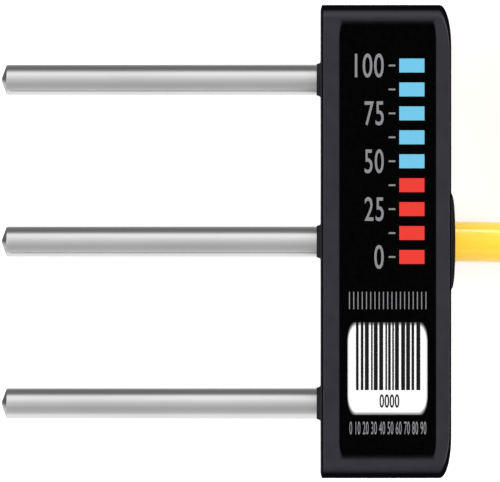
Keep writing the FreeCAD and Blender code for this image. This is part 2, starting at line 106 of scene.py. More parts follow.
# ---- node helpers ------------------------------------------------------------------------
class Nodes:
    """A short way to write a material's nodes."""

    def __init__(self, name):
        self.material = bpy.data.materials.new(name)
        self.material.use_nodes = True
        self.tree = self.material.node_tree
        self.shader = self.tree.nodes["Principled BSDF"]

    def add(self, kind, **settings):
        node = self.tree.nodes.new(kind)
        for key, value in settings.items():
            setattr(node, key, value)
        return node

    def link(self, source, target):
        self.tree.links.new(source, target)

    def place(self, scale=(1.0, 1.0, 1.0)):
        """Object coordinates, stretched."""
        coords = self.add("ShaderNodeTexCoord")
        mapping = self.add("ShaderNodeMapping")
        mapping.inputs["Scale"].default_value = scale
        self.link(coords.outputs["Object"], mapping.inputs["Vector"])
        return mapping.outputs["Vector"]

    def noise(self, scale, detail=3.0, stretch=(1.0, 1.0, 1.0), roughness=0.5):
        noise = self.add("ShaderNodeTexNoise")
        noise.inputs["Scale"].default_value = scale
        noise.inputs["Detail"].default_value = detail
        noise.inputs["Roughness"].default_value = roughness
        self.link(self.place(stretch), noise.inputs["Vector"])
        return noise.outputs["Fac"]

    def remap(self, value, low, high, start=0.3, end=0.7):
        """A value between start and end, moved to between low and high."""
        node = self.add("ShaderNodeMapRange")
        node.inputs["From Min"].default_value = start
        node.inputs["From Max"].default_value = end
        node.inputs["To Min"].default_value = low
        node.inputs["To Max"].default_value = high
        self.link(value, node.inputs["Value"])
        return node.outputs["Result"]

    def ramp(self, value, stops):
        """Colours along a value; stops are (position, colour)."""
        node = self.add("ShaderNodeValToRGB")
        elements = node.color_ramp.elements
        while len(elements) < len(stops):
            elements.new(0.5)
        for element, (position, colour) in zip(elements, stops):
            element.position = position
            element.color = (*colour, 1.0)
        self.link(value, node.inputs["Fac"])
        return node.outputs["Color"]

    def maths(self, operation, first, second=0.0):
        """One sum on two values or sockets."""
        node = self.add("ShaderNodeMath", operation=operation)
        for socket, value in zip(node.inputs, (first, second)):
            if isinstance(value, float):
                socket.default_value = value
            else:
                self.link(value, socket)
        return node.outputs["Value"]

    def facing(self, axis, low, high):
        """0 where the surface faces along an axis less than low, 1 where more than high."""
        coords = self.add("ShaderNodeTexCoord")
        split = self.add("ShaderNodeSeparateXYZ")
        self.link(coords.outputs["Normal"], split.inputs["Vector"])
        return self.remap(split.outputs[axis], 0.0, 1.0, low, high)

    def away_from(self, axis, middle):
        """Distance from a plane across an axis."""
        split = self.add("ShaderNodeSeparateXYZ")
        self.link(self.place(), split.inputs["Vector"])
        return self.maths("ABSOLUTE", self.maths("SUBTRACT", split.outputs[axis], middle))

    def inside(self, centre, half, radii, soft):
        """1 inside a rectangle with elliptical corners, falling to 0 across its edge."""
        squares = []
        for axis, middle, reach, radius in zip("XY", centre, half, radii):
            past = self.maths("SUBTRACT", self.away_from(axis, middle), reach - radius)
            past = self.maths("DIVIDE", self.maths("MAXIMUM", past, 0.0), radius)
            squares.append(self.maths("MULTIPLY", past, past))
        distance = self.maths("SQRT", self.maths("ADD", *squares))
        return self.remap(distance, 1.0, 0.0, 1 - soft, 1 + soft)

    def blend(self, share, first, second):
        """A colour between two colours or sockets."""
        node = self.add("ShaderNodeMix", data_type="RGBA")
        factor, *colours = [socket for socket in node.inputs if socket.enabled]
        self.link(share, factor)
        for socket, value in zip(colours, (first, second)):
            if isinstance(value, tuple):
                socket.default_value = (*value, 1.0)
            else:
                self.link(value, socket)
        return next(socket for socket in node.outputs if socket.enabled)

    def colour(self, source):
        self.link(source, self.shader.inputs["Base Color"])

    def roughness(self, source):
        self.link(source, self.shader.inputs["Roughness"])

    def bump(self, heights):
        """Bumps in a chain; heights are (value, distance in metres)."""
        normal = None
        for value, distance in heights:
            node = self.add("ShaderNodeBump")
            node.inputs["Distance"].default_value = distance
            self.link(value, node.inputs["Height"])
            if normal is not None:
                self.link(normal, node.inputs["Normal"])
            normal = node.outputs["Normal"]
        self.link(normal, self.shader.inputs["Normal"])

    def set(self, **values):
        """Constant values, on the shader's own sockets."""
        names = {
            "base": "Base Color", "rough": "Roughness", "metal": "Metallic",
            "specular": "Specular IOR Level", "coat": "Coat Weight",
            "coat_rough": "Coat Roughness", "subsurface": "Subsurface Weight",
            "subsurface_scale": "Subsurface Scale",
        }
        for key, value in values.items():
            if key == "base":
                value = (*value, 1.0)
            self.shader.inputs[names[key]].default_value = value
        return self


# ---- materials ---------------------------------------------------------------------------
OVERLAY_MIDDLE = tuple((low + high) / 2 for low, high in zip(overlay_low, overlay_high))
OVERLAY_HALF = tuple((high - low) / 2 for low, high in zip(overlay_low, overlay_high))


def housing_plastic():
    """Charcoal moulded plastic, finely eroded: matt down its sides, dark round its edges and where
    it dips to the overlay's ends, both painted shade, and a painted highlight along its far edge."""
    nodes = Nodes("housing_plastic")
    grain = nodes.noise(5200, 2.0)
    mottle = nodes.noise(420, 4.0)
    lean = nodes.facing("Z", 0.8, 0.96)
    front = nodes.ramp(mottle, [(0.25, (0.0066, 0.0062, 0.0102)), (0.75, (0.0084, 0.0080, 0.0126))])
    # Painted highlight: the front turns paler where its rounding faces the far (+Y) edge.
    front = nodes.blend(nodes.facing("Y", 0.02, 0.12), front, (0.0160, 0.0155, 0.0200))
    # Painted shade: the face turns near black just past the overlay's two ends, where it dips to
    # the overlay, and loses its shine there.
    past_end = nodes.away_from("Y", OVERLAY_MIDDLE[1])
    past_end = nodes.remap(past_end, 0.25, 1.0, OVERLAY_HALF[1], OVERLAY_HALF[1] + 0.42 * MM)
    past_side = nodes.away_from("X", OVERLAY_MIDDLE[0])
    past_side = nodes.remap(past_side, 0.0, 1.0, OVERLAY_HALF[0] - 0.6 * MM, OVERLAY_HALF[0])
    clear_of_painted_shade = nodes.maths("MAXIMUM", past_end, past_side)
    front = nodes.blend(clear_of_painted_shade, (0.0006, 0.0006, 0.0008), front)
    # Painted shade: the rounding between the front and the sides is darkened into a dark line; the
    # sides themselves keep a matt charcoal.
    steep = nodes.facing("Z", 0.02, 0.25)
    edge = nodes.blend(steep, (0.0150, 0.0146, 0.0185), (0.0022, 0.0021, 0.0029))
    nodes.colour(nodes.blend(lean, edge, front))
    nodes.roughness(nodes.remap(mottle, 0.32, 0.44))
    shine = nodes.maths("MULTIPLY", nodes.remap(lean, 0.0, 0.30, 0.0, 1.0), clear_of_painted_shade)
    nodes.link(shine, nodes.shader.inputs["Specular IOR Level"])
    nodes.bump([(grain, 0.010 * MM), (mottle, 0.006 * MM)])
    return nodes.material


def overlay_film():
    """Deep black printed film that pales at its two ends."""
    nodes = Nodes("overlay_film").set(specular=0.0)
    grain = nodes.noise(2600, 2.0)
    black = nodes.ramp(grain, [(0.3, (0.0006, 0.0006, 0.0007)), (0.7, (0.0012, 0.0012, 0.0013))])
    end = nodes.away_from("Y", OVERLAY_MIDDLE[1])
    end = nodes.remap(end, 0.0, 1.0, OVERLAY_HALF[1] - 0.32 * MM, OVERLAY_HALF[1])
    nodes.colour(nodes.blend(end, black, (0.0045, 0.0045, 0.0055)))
    nodes.roughness(nodes.remap(grain, 0.42, 0.55))
    nodes.bump([(grain, 0.002 * MM)])
    return nodes.material


def rod_steel():
    """Ground stainless bar: fine scratches along the rod, faint drawing marks."""
    nodes = Nodes("rod_steel").set(metal=1.0)
    streaks = nodes.noise(900, 3.0, stretch=(0.02, 1.0, 1.0))
    cloud = nodes.noise(160, 3.0, stretch=(0.35, 1.0, 1.0))
    nodes.colour(nodes.ramp(cloud, [(0.3, (0.60, 0.60, 0.60)), (0.7, (0.66, 0.66, 0.655))]))
    nodes.roughness(nodes.remap(streaks, 0.17, 0.25))
    nodes.bump([(streaks, 0.0012 * MM)])
    return nodes.material


def tip_steel():
    """The ground point: dark, with painted light that makes its near side paler."""
    nodes = Nodes("tip_steel").set(specular=0.05)
    marks = nodes.noise(2400, 3.0, stretch=(1.0, 0.2, 0.2))
    dark = nodes.ramp(marks, [(0.3, (0.022, 0.022, 0.024)), (0.7, (0.040, 0.040, 0.042))])
    # Painted light: the point is paler where it faces the near (-Y) side.
    nodes.colour(nodes.blend(nodes.facing("Y", -0.16, 0.02), (0.26, 0.26, 0.26), dark))
    nodes.roughness(nodes.remap(marks, 0.35, 0.5))
    nodes.bump([(marks, 0.004 * MM)])
    return nodes.material


def rubber(name, colour, rough=(0.5, 0.65), specular=0.3):
    """Moulded rubber with a dusty, uneven sheen."""
    nodes = Nodes(name).set(specular=specular)
    grain = nodes.noise(3800, 2.0)
    patches = nodes.noise(260, 3.0)
    darker = tuple(channel * 0.75 for channel in colour)
    nodes.colour(nodes.ramp(patches, [(0.3, darker), (0.7, colour)]))
    nodes.roughness(nodes.remap(patches, *rough))
    nodes.bump([(grain, 0.006 * MM)])
    return nodes.material


def cable_jacket():
    """Yellow extruded jacket: satin, with a slight orange-peel and faint scuffs."""
    nodes = Nodes("cable_jacket").set(
        specular=0.4, coat=0.6, coat_rough=0.12, subsurface=0.06, subsurface_scale=0.8 * MM
    )
    peel = nodes.noise(1500, 2.0)
    tone = nodes.noise(120, 3.0)
    nodes.colour(nodes.ramp(tone, [(0.25, (0.86, 0.52, 0.017)), (0.75, (0.90, 0.56, 0.022))]))
    nodes.roughness(nodes.remap(peel, 0.28, 0.36))
    nodes.bump([(peel, 0.008 * MM)])
    return nodes.material


PANEL_SHIFT = 0.03 * MM     # the white panel lies a little low on its label
PANEL_TRIM = 0.08 * MM
PANEL_CORNER = (1.0 * MM, 2.2 * MM)
PANEL_SOFT = 0.15           # share of the corner over which its edge fades
PANEL_FADE = 2.2            # above 1, the fade stays dark for longer
PANEL_SHINE = 0.12


def label_paper():
    """White printed panel whose edge fades softly into the black film round it."""
    nodes = Nodes("label_white")
    grain = nodes.noise(6000, 2.0)
    middle = [(low + high) / 2 for low, high in zip(serial_low, serial_high)]
    half = [(high - low) / 2 for low, high in zip(serial_low, serial_high)]
    centre = (middle[0], middle[1] - PANEL_SHIFT)
    reach = (half[0], half[1] - PANEL_TRIM)
    panel = nodes.inside(centre, reach, PANEL_CORNER, PANEL_SOFT)
    panel = nodes.maths("POWER", panel, PANEL_FADE)
    white = nodes.ramp(grain, [(0.3, (0.60, 0.60, 0.60)), (0.7, (0.63, 0.63, 0.63))])
    nodes.colour(nodes.blend(panel, (0.0008, 0.0008, 0.0009), white))
    shine = nodes.maths("MULTIPLY", panel, PANEL_SHINE)
    nodes.link(shine, nodes.shader.inputs["Specular IOR Level"])
    nodes.roughness(nodes.remap(grain, 0.45, 0.6))
    nodes.bump([(grain, 0.001 * MM)])
    return nodes.material


def ink(name, colour):
    """Screen-printed ink: even, with a slightly thick, satin surface."""
    nodes = Nodes(name).set(specular=0.12)
    grain = nodes.noise(6000, 2.0)
    paler = tuple(min(1.0, channel * 1.04) for channel in colour)
    nodes.colour(nodes.ramp(grain, [(0.3, colour), (0.7, paler)]))
    nodes.roughness(nodes.remap(grain, 0.45, 0.6))
    nodes.bump([(grain, 0.001 * MM)])
    return nodes.material


def graded(name, axis, start, end, stops, specular=0.12):
    """Rubber whose colour changes along one axis between two places."""
    nodes = Nodes(name).set(specular=specular)
    split = nodes.add("ShaderNodeSeparateXYZ")
    nodes.link(nodes.place(), split.inputs["Vector"])
    along = nodes.remap(split.outputs[axis], 0.0, 1.0, start, end)
    nodes.colour(nodes.ramp(along, stops))
    grain = nodes.noise(6000, 2.0)
    nodes.roughness(nodes.remap(grain, 0.45, 0.6))
    nodes.bump([(grain, 0.001 * MM)])
    return nodes.material


def plain_metal(name, colour, rough):
    """Brass, tin or screw steel with small machining marks."""
    nodes = Nodes(name).set(metal=1.0)
    marks = nodes.noise(1800, 3.0)
    darker = tuple(channel * 0.85 for channel in colour)
    nodes.colour(nodes.ramp(marks, [(0.3, darker), (0.7, colour)]))
    nodes.roughness(nodes.remap(marks, rough, rough + 0.12))
    nodes.bump([(marks, 0.003 * MM)])
    return nodes.material


def plain_plastic(name, colour, rough=0.4):
    """Resin, board, chips, nylon and wire insulation."""
    nodes = Nodes(name).set(specular=0.4)
    grain = nodes.noise(2200, 3.0)
    darker = tuple(channel * 0.8 for channel in colour)
    nodes.colour(nodes.ramp(grain, [(0.3, darker), (0.7, colour)]))
    nodes.roughness(nodes.remap(grain, rough, rough + 0.12))
    nodes.bump([(grain, 0.003 * MM)])
    return nodes.material


HOUSING = housing_plastic()
COLLAR = rubber("collar_plastic", (0.019, 0.0185, 0.023), (0.5, 0.6), 0.0)
OVERLAY = overlay_film()
STEEL = rod_steel()
TIP = tip_steel()
SEAL = rubber("seal_rubber", (0.006, 0.006, 0.007))
GROMMET = graded(
    "grommet_rubber", "X", CABLE_FACE, CABLE_FACE + BOSS_RISE,
    [(0.0, (0.0150, 0.0146, 0.0185)), (0.8, (0.0062, 0.0060, 0.0080))], 0.0,
)
SLEEVE = rubber("sleeve_rubber", (0.012, 0.012, 0.012), (0.35, 0.5))
JACKET = cable_jacket()
BRASS = plain_metal("brass", (0.72, 0.50, 0.20), 0.3)
TIN = plain_metal("tin", (0.72, 0.72, 0.70), 0.22)
SCREW = plain_metal("screw_steel", (0.5, 0.5, 0.52), 0.35)
BOARD = plain_plastic("board_green", (0.02, 0.16, 0.05), 0.3)
CHIP = plain_plastic("chip_black", (0.02, 0.02, 0.02), 0.5)
RESIN = plain_plastic("potting_resin", (0.02, 0.02, 0.024), 0.2)
NYLON = plain_plastic("tie_nylon", (0.012, 0.012, 0.013), 0.35)
WIRE = {
    "red": plain_plastic("wire_red", (0.55, 0.02, 0.015), 0.3),
    "white": plain_plastic("wire_white", (0.75, 0.75, 0.72), 0.3),
    "blue": plain_plastic("wire_blue", (0.02, 0.09, 0.45), 0.3),
}
PAPER = label_paper()
INK_BLACK = ink("ink_black", (0.001, 0.001, 0.001))
INK_BLUE = ink("ink_blue", (0.095, 0.33, 0.47))
INK_RED = ink("ink_red", (0.50, 0.024, 0.016))
INK_GREY = ink("ink_grey", (0.15, 0.15, 0.155))


# ---- mesh helpers ------------------------------------------------------------------------
def make_object(name, mesh, material):
    piece = bpy.data.objects.new(name, mesh)
    bpy.context.scene.collection.objects.link(piece)
    piece.data.materials.append(material)
    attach(piece, "root")
    return piece


def finish_mesh(name, work, smooth_angle=35.0):
    """A mesh from a bmesh, smooth except across sharp edges."""
    bmesh.ops.recalc_face_normals(work, faces=work.faces)
    mesh = bpy.data.meshes.new(name)
    work.to_mesh(mesh)
    work.free()
    mesh.polygons.foreach_set("use_smooth", [True] * len(mesh.polygons))
    mesh.set_sharp_from_angle(angle=math.radians(smooth_angle))
    return mesh


def outline(centre, half, corners, steps=10):
    """Points round a rectangle with elliptical corners, counter-clockwise from +X."""
    signs = [(1, 1, 0), (-1, 1, 90), (-1, -1, 180), (1, -1, 270)]
    points = []
    for (sign_x, sign_y, start), (radius_x, radius_y) in zip(signs, corners):
        middle_x = centre[0] + sign_x * (half[0] - radius_x)
        middle_y = centre[1] + sign_y * (half[1] - radius_y)
        for step in range(steps + 1):
            angle = math.radians(start + 90 * step / steps)
            points.append(
                (middle_x + radius_x * math.cos(angle), middle_y + radius_y * math.sin(angle))
            )
    return points


def join_rings(work, lower, upper):
    """Faces that close the gap between two rings of the same number of points."""
    count = len(lower)
    for index in range(count):
        following = (index + 1) % count
        work.faces.new((lower[index], lower[following], upper[following], upper[index]))


def loft(work, loops, close_start=True, close_end=True):
    """Faces between loops of the same number of points."""
    rings = [[work.verts.new(point) for point in loop] for loop in loops]
    for lower, upper in zip(rings, rings[1:]):
        join_rings(work, lower, upper)
    if close_start:
        work.faces.new(list(reversed(rings[0])))
    if close_end:
        work.faces.new(rings[-1])
    return rings


def lathe_x(work, profile, y, z, segments=96):
    """Turns a profile of (x, radius) points about an axis along X. A radius of 0 ends it."""
    ends = []
    loops = []
    for x, radius in profile:
        if radius == 0:
            ends.append(work.verts.new((x, y, z)))
            continue
        ring = []
        for index in range(segments):
            angle = 2 * math.pi * index / segments
            ring.append((x, y + radius * math.cos(angle), z + radius * math.sin(angle)))
        loops.append(ring)
    rings = loft(work, loops, False, False)
    for end, ring in zip(ends, (rings[0], rings[-1])):
        for index in range(segments):
            work.faces.new((end, ring[index], ring[(index + 1) % segments]))
    return rings


def arc_points(centre, radii, start, end, steps):
    """Points on an elliptical arc, angles in degrees."""
    points = []
    for step in range(steps + 1):
        angle = math.radians(start + (end - start) * step / steps)
        points.append(
            (centre[0] + radii[0] * math.cos(angle), centre[1] + radii[1] * math.sin(angle))
        )
    return points


# ---- camera ------------------------------------------------------------------------------
VIEW_WIDTH = 56.14 * MM
VIEW_CENTRE = (-15.33 * MM, 0.06 * MM)
LENS = 800.0
SENSOR = 36.0


def make_camera():
    data = bpy.data.cameras.new("camera")
    data.lens = LENS
    data.sensor_width = SENSOR
    data.clip_start = 0.1
    data.clip_end = 10.0
    camera = bpy.data.objects.new("camera", data)
    bpy.context.scene.collection.objects.link(camera)
    distance = VIEW_WIDTH * LENS / SENSOR
    camera.location = (VIEW_CENTRE[0], VIEW_CENTRE[1], overlay_high[2] + distance)
    bpy.context.scene.camera = camera


# ---- cable -------------------------------------------------------------------------------
POINTS_PER_TURN = 24
CROSSING = 64.0             # degrees over which a turn steps to the next place
TAIL_RISE = 40.0            # degrees over which the tail climbs
TAIL_CROSS = (14.0, 84.0)   # and between which it crosses to its groove
TAIL_HUMP = 0.3 * MM
TAIL_STEPS = 8
COIL_SEED = 4
COIL_WOBBLE = 0.12 * MM     # by which hand-laid turns stray
CORD_STEPS = 6              # faces along the cord between two points
CORD_RING = 10
SPLINE_SHRINK = 0.75 + 0.25 * math.cos(2 * math.pi / POINTS_PER_TURN)
LAY_HEIGHT = CABLE_RADIUS + 0.05 * MM
TIE_REACH = 50.0            # degrees either side over which a tie draws the turns in
SQUEEZE_ACROSS = 0.07       # by what share, across and in height
SQUEEZE_DOWN = 0.09
COIL_MIDDLE = LAY_HEIGHT + (COIL_ROWS - 1) * ROW_PITCH / 2


def turn_places():
    """Offset from the mean radius and height of each turn, in the order they are wound."""
    places = []
    for row in range(COIL_ROWS):
        height = LAY_HEIGHT + row * ROW_PITCH
        if row % 2 == 0:
            outermost = (COIL_COLUMNS - 1) / 2
            offsets = [outermost - column for column in range(COIL_COLUMNS)]
        else:
            innermost = (2 - COIL_COLUMNS) / 2
            offsets = [innermost + column for column in range(COIL_COLUMNS - 1)]
        places += [(offset * CABLE_PITCH, height) for offset in offsets]
    return places


def smooth_step(value):
    value = max(0.0, min(1.0, value))
    return value * value * (3 - 2 * value)


def coil_point(angle, offset, height):
    """A control point of the coil, drawn in where it passes a tie."""
    for tie in TIE_ANGLES:
        away = abs((angle - tie + 180) % 360 - 180)
        if away < TIE_REACH:
            share = math.cos(math.pi / 2 * away / TIE_REACH) ** 2
            offset *= 1 - SQUEEZE_ACROSS * share
            height = COIL_MIDDLE + (height - COIL_MIDDLE) * (1 - SQUEEZE_DOWN * share)
    radius = (COIL_MEAN_RADIUS + offset) / SPLINE_SHRINK
    turn = math.radians(angle)
    return (
        COIL_CENTRE[0] + radius * math.cos(turn),
        COIL_CENTRE[1] + radius * math.sin(turn),
        height,
    )


def coil_points():
    """The coil's turns, then the tail that climbs onto them and lies in a groove."""
    places = turn_places()
    step = 360 / POINTS_PER_TURN
    wobble = random.Random(COIL_SEED)
    points = []
    before = places[0]
    for here in places:
        for number in range(POINTS_PER_TURN):
            across = number * step
            share = smooth_step(across / CROSSING)
            offset = before[0] + (here[0] - before[0]) * share
            offset += wobble.uniform(-1, 1) * COIL_WOBBLE
            height = before[1] + (here[1] - before[1]) * share
            if points or number:
                points.append(coil_point(COIL_START + across, offset, height))
        before = here
    top = (0.5 * CABLE_PITCH, LAY_HEIGHT + COIL_ROWS * ROW_PITCH)
    tail_sweep = TAIL_END - COIL_START
    for number in range(TAIL_STEPS + 1):
        across = tail_sweep * number / TAIL_STEPS
        rise = smooth_step(across / TAIL_RISE)
        inward = smooth_step((across - TAIL_CROSS[0]) / (TAIL_CROSS[1] - TAIL_CROSS[0]))
        offset = before[0] + (top[0] - before[0]) * inward
        height = before[1] + (top[1] - before[1]) * rise + TAIL_HUMP * 4 * inward * (1 - inward)
        radius = (COIL_MEAN_RADIUS + offset) / SPLINE_SHRINK
        if number == TAIL_STEPS:
            radius *= SPLINE_SHRINK
        turn = math.radians(COIL_START + across)
        points.append(
            (
                COIL_CENTRE[0] + radius * math.cos(turn),
                COIL_CENTRE[1] + radius * math.sin(turn),
                height,
            )
        )
    return points


def spline_curve(name, points, radius, material):
    """A round cord along one open quadratic spline."""
    data = bpy.data.curves.new(name, "CURVE")
    data.dimensions = "3D"
    data.bevel_depth = radius
    data.bevel_resolution = CORD_RING
    data.use_fill_caps = True
    spline = data.splines.new("NURBS")
    spline.points.add(len(points) - 1)
    for point, place in zip(spline.points, points):
        point.co = (*place, 1.0)
    spline.order_u = 3
    spline.use_endpoint_u = True
    spline.resolution_u = CORD_STEPS
    spline.use_smooth = True
    return make_object(name, data, material)


def make_cable():
    route = [tuple(value * MM for value in point) for point in CABLE_ROUTE]
    cable = spline_curve("cable", route + coil_points(), CABLE_RADIUS, JACKET)
    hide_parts("free_cable", "cable_coil")
    return cable


# ---- head --------------------------------------------------------------------------------
def make_housing():
    """The moulded shell: rounded edges, a seat for the cover and a recess for the overlay."""
    centre = ((ROD_FACE + CABLE_FACE) / 2, 0.0)
    half = (HALF_LENGTH, HALF_WIDTH)
    corners = [CABLE_CORNER, ROD_CORNER, ROD_CORNER, CABLE_CORNER]
    base = outline(centre, half, corners)

    def level(inset_x, inset_y, z):
        scale_x = (half[0] - inset_x) / half[0]
        scale_y = (half[1] - inset_y) / half[1]
        return [
            (centre[0] + (x - centre[0]) * scale_x, centre[1] + (y - centre[1]) * scale_y, z)
            for x, y in base
        ]

    def plain(low, high, corner, z):
        middle = ((low[0] + high[0]) / 2, (low[1] + high[1]) / 2)
        halves = ((high[0] - low[0]) / 2, (high[1] - low[1]) / 2)
        return [(x, y, z) for x, y in outline(middle, halves, [corner] * 4)]

    rim = 0.08 * MM
    cavity_inset = 1.1 * MM
    cavity_low = (cover_low[0] + cavity_inset, cover_low[1] + cavity_inset)
    cavity_high = (cover_high[0] - cavity_inset, cover_high[1] - cavity_inset)
    cavity_top = THICKNESS - 2.4 * MM
    inner_corner = (0.3 * MM, 0.3 * MM)
    loops = [
        plain(cavity_low, cavity_high, inner_corner, cavity_top),
        plain(cavity_low, cavity_high, inner_corner, COVER_THICK),
        plain(cover_low, cover_high, inner_corner, COVER_THICK),
        plain(cover_low, cover_high, inner_corner, 0.0),
    ]
    loops.append(level(BACK_ROUND[0] + rim, BACK_ROUND[1] + rim, 0.0))
    steps = 10
    for step in range(steps + 1):
        turn = math.radians(90 * step / steps)
        inset = 1 - math.sin(turn)
        loops.append(
            level(BACK_ROUND[0] * inset, BACK_ROUND[1] * inset,
                  BACK_ROUND_DEPTH * (1 - math.cos(turn)))
        )
    for step in range(steps + 1):
        turn = math.radians(90 * step / steps)
        inset = 1 - math.cos(turn)
        loops.append(
            level(FRONT_ROUND[0] * inset, FRONT_ROUND[1] * inset,
                  THICKNESS - FRONT_ROUND_DEPTH * (1 - math.sin(turn)))
        )
    loops.append(level(FRONT_ROUND[0] + rim, FRONT_ROUND[1] + rim, THICKNESS))
    loops.append(plain(overlay_low, overlay_high, OVERLAY_CORNER, THICKNESS))
    loops.append(plain(overlay_low, overlay_high, OVERLAY_CORNER, overlay_low[2]))
    work = bmesh.new()
    loft(work, loops)
    housing = make_object("housing", finish_mesh("housing", work), HOUSING)
    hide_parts("front_shell")


def make_collars():
    """The tapered collars round the rods' roots, with their small fillets."""
    work = bmesh.new()
    nose = ROD_FACE - COLLAR_LENGTH
    edge = 0.05 * MM
    tip_radius = 1.78 * MM
    foot_radius = 1.88 * MM
    spread = 0.72 * MM
    rise = 0.16 * MM
    for name in ROD_NAMES:
        profile = [(ROD_FACE + 0.4 * MM, ROD_ROOT_RADIUS), (nose + edge, ROD_ROOT_RADIUS)]
        profile += arc_points((nose + edge, tip_radius - edge), (edge, edge), 180, 90, 5)
        profile.append((ROD_FACE - rise, foot_radius))
        profile += arc_points(
            (ROD_FACE - rise, foot_radius + spread), (rise, spread), -90, 0, 8
        )[1:]
        profile.append((ROD_FACE + 0.4 * MM, foot_radius + spread))
        rings = lathe_x(work, profile, rod_y(name), ROD_HEIGHT)
        join_rings(work, rings[-1], rings[0])
    make_object("rod_collars", finish_mesh("rod_collars", work), COLLAR)


def make_rods():
    """Pointed rods, turned, with a slightly blunted point and a soft shoulder."""
    blunt = 0.3 * MM
    soft = 0.12 * MM
    for name in ROD_NAMES:
        low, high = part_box(name)
        work = bmesh.new()
        shoulder = low[0] + TIP_LENGTH
        step = ROD_FACE - COLLAR_LENGTH
        slope = (ROD_RADIUS - blunt) / TIP_LENGTH
        profile = [(low[0], 0), (low[0], blunt * 0.7), (low[0] + 0.03 * MM, blunt)]
        profile.append((shoulder - soft / slope, ROD_RADIUS - soft))
        profile.append((shoulder, ROD_RADIUS - 0.03 * MM))
        profile.append((shoulder + soft, ROD_RADIUS))
        profile.append((shoulder + 3 * soft, ROD_RADIUS))
        profile += [(step, ROD_RADIUS), (step, ROD_ROOT_RADIUS), (high[0], ROD_ROOT_RADIUS)]
        profile.append((high[0], 0))
        lathe_x(work, profile, rod_y(name), ROD_HEIGHT, segments=128)
        mesh = finish_mesh("steel_" + name, work)
        rod = make_object("steel_" + name, mesh, STEEL)
        mesh.materials.append(TIP)
        for face in mesh.polygons:
            if face.center.x < shoulder:
                face.material_index = 1
        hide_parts(name)


def make_grommet():
    """The cable's low round boss, a dome fuller than an ellipse, with a lip where the cable
    comes out."""
    work = bmesh.new()
    bore = CABLE_RADIUS + 0.02 * MM
    neck = 4.2 * MM
    lip = 0.12 * MM
    root = CABLE_FACE - 1.5 * MM
    lip_rise = 0.9              # share of the boss's rise
    steps = 28
    profile = [(root, bore), (root, neck), (CABLE_FACE, neck)]
    for step in range(steps + 1):
        share = 1 - (1 - (bore + lip) / BOSS_RADIUS) * (step / steps) ** 2
        rise = (1 - share ** BOSS_FULLNESS) ** (1 / BOSS_FULLNESS)
        profile.append((CABLE_FACE + BOSS_RISE * rise, BOSS_RADIUS * share))
    profile.append((CABLE_FACE + BOSS_RISE * lip_rise, bore))
    rings = lathe_x(work, profile, 0.0, ROD_HEIGHT)
    join_rings(work, rings[-1], rings[0])
    boss = make_object("grommet", finish_mesh("grommet", work), GROMMET)
    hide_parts("cable_grommet")


# ---- print on the label ------------------------------------------------------------------
PRINT_LOW = overlay_high[2]
PRINT_THICK = 0.015 * MM
DIGIT_SPACE = 1.08
BAR_SEED = 11
BAR_WIDTHS = (0.19 * MM, 0.29 * MM, 0.44 * MM)
BAR_GAPS = (0.12 * MM, 0.17 * MM, 0.25 * MM)

# Places in the print: shares of the overlay, across from the rod side and down from the top.
# A box is left, top, right, bottom.
SCALE_TOP = 0.100
SCALE_PITCH = 0.110         # between two numbers; a step of the meter is half of it
METER_STEPS = 9
WET_STEPS = 5
NUMBER_END = 0.46
DIGIT_WIDTH = 0.10
DIGIT_HEIGHT = 0.056
TICK_SPAN = (0.51, 0.58)
TICK_HALF_HEIGHT = 0.002
BLOCK_SPAN = (0.62, 0.88)
BLOCK_HALF_HEIGHT = 0.016
RULER_START = 0.10
RULER_PITCH = 0.0439
RULER_MARKS = 19
RULER_MARK_WIDTH = 0.010
RULER_HEIGHTS = (0.620, 0.660)
BARS_BOX = (0.172, 0.690, 0.841, 0.846)
LABEL_NUMBER_BOX = (0.413, 0.855, 0.622, 0.887)
SMALL_SCALE_BOX = (0.104, 0.918, 0.90, 0.948)


def on_overlay(across, down):
    """A place on the overlay: shares of its width from the rod side and of its height."""
    return (
        overlay_low[0] + across * (overlay_high[0] - overlay_low[0]),
        overlay_high[1] - down * (overlay_high[1] - overlay_low[1]),
    )


def printed(name, shapes, material, low=PRINT_LOW):
    """Thin printed shapes."""
    work = bmesh.new()
    for points in shapes:
        loft(work, [[(x, y, z) for x, y in points] for z in (low, low + PRINT_THICK)])
    return make_object(name, finish_mesh(name, work), material)


def digits(name, text, box, material, weight, low=PRINT_LOW):
    """Numbers that fill a box on the overlay. Weight thickens them."""
    font = bpy.data.curves.new(name, "FONT")
    font.body = text
    font.space_character = DIGIT_SPACE
    typed = bpy.data.objects.new(name, font)
    bpy.context.scene.collection.objects.link(typed)
    bpy.context.view_layer.update()
    shape = typed.to_curve(bpy.context.evaluated_depsgraph_get()).copy()
    bpy.data.objects.remove(typed)
    xs = [point.co.x for spline in shape.splines for point in spline.bezier_points]
    ys = [point.co.y for spline in shape.splines for point in spline.bezier_points]
    left, top = on_overlay(box[0], box[1])
    right, bottom = on_overlay(box[2], box[3])
    scale_x = (right - left - 2 * weight) / (max(xs) - min(xs))
    scale_y = (top - bottom - 2 * weight) / (max(ys) - min(ys))
    fit = Matrix.Translation((left + weight, bottom + weight, 0))
    fit @= Matrix.Diagonal((scale_x, scale_y, 1, 1))
    fit @= Matrix.Translation((-min(xs), -min(ys), 0))
    shape.transform(fit)
    shape.offset = weight
    shape.extrude = PRINT_THICK / 2
    shape.fill_mode = "BOTH"
    shape.resolution_u = 5
    shape.materials.clear()
    piece = make_object(name, shape, material)
    piece.location.z = low + PRINT_THICK / 2
    return piece


